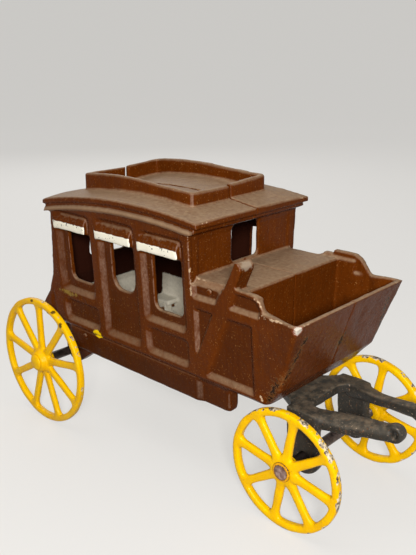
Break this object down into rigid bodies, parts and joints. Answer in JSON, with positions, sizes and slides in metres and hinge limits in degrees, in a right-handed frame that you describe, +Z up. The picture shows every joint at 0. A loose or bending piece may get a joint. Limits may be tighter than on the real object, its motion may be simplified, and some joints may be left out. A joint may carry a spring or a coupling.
{
  "type": "toy stagecoach",
  "caption": "Cast-iron toy stagecoach with hollow panelled cabin, roof luggage rail, open front box with a seat, pivoting forecarriage and loose spoked wheels.",
  "frame": {"origin": "on the ground under the middle of the model's length and width", "axes": "+X forward, +Y to the coach's left, +Z up"},
  "size_m": [0.2074, 0.1004, 0.1263],
  "materials": {
    "brown_paint": "satin, worn",
    "yellow_paint": "satin, chipped",
    "black_paint": "satin, dusty and rusty",
    "steel": "dark, oxidised"
  },
  "bodies": {
    "coach": {"body_right": "brown_paint", "body_left": "brown_paint", "body_rivet_front": "steel", "body_rivet_rear": "steel", "king_pin": "steel", "rear_axle": "steel"},
    "forecarriage": {"forecarriage": "black_paint", "front_axle": "steel"},
    "front_wheel_right": {"front_wheel_right": "yellow_paint"},
    "front_wheel_left": {"front_wheel_left": "yellow_paint"},
    "rear_wheel_right": {"rear_wheel_right": "yellow_paint"},
    "rear_wheel_left": {"rear_wheel_left": "yellow_paint"}
  },
  "joints": [
    {"name": "steer", "type": "hinge", "parent": "coach", "child": "forecarriage", "pos_m": [0.03415, 0, 0.0474], "axis": [0, 0, 1], "range_deg": [-15, 15]},
    {"name": "front_wheel_right_spin", "type": "hinge", "parent": "forecarriage", "child": "front_wheel_right", "pos_m": [0.06715, -0.0322, 0.025], "axis": [0, 1, 0], "continuous": true},
    {"name": "front_wheel_left_spin", "type": "hinge", "parent": "forecarriage", "child": "front_wheel_left", "pos_m": [0.06715, 0.0322, 0.025], "axis": [0, 1, 0], "continuous": true},
    {"name": "rear_wheel_right_spin", "type": "hinge", "parent": "coach", "child": "rear_wheel_right", "pos_m": [-0.07205, -0.0447, 0.0317], "axis": [0, 1, 0], "continuous": true},
    {"name": "rear_wheel_left_spin", "type": "hinge", "parent": "coach", "child": "rear_wheel_left", "pos_m": [-0.07205, 0.0447, 0.0317], "axis": [0, 1, 0], "continuous": true}
  ]
}
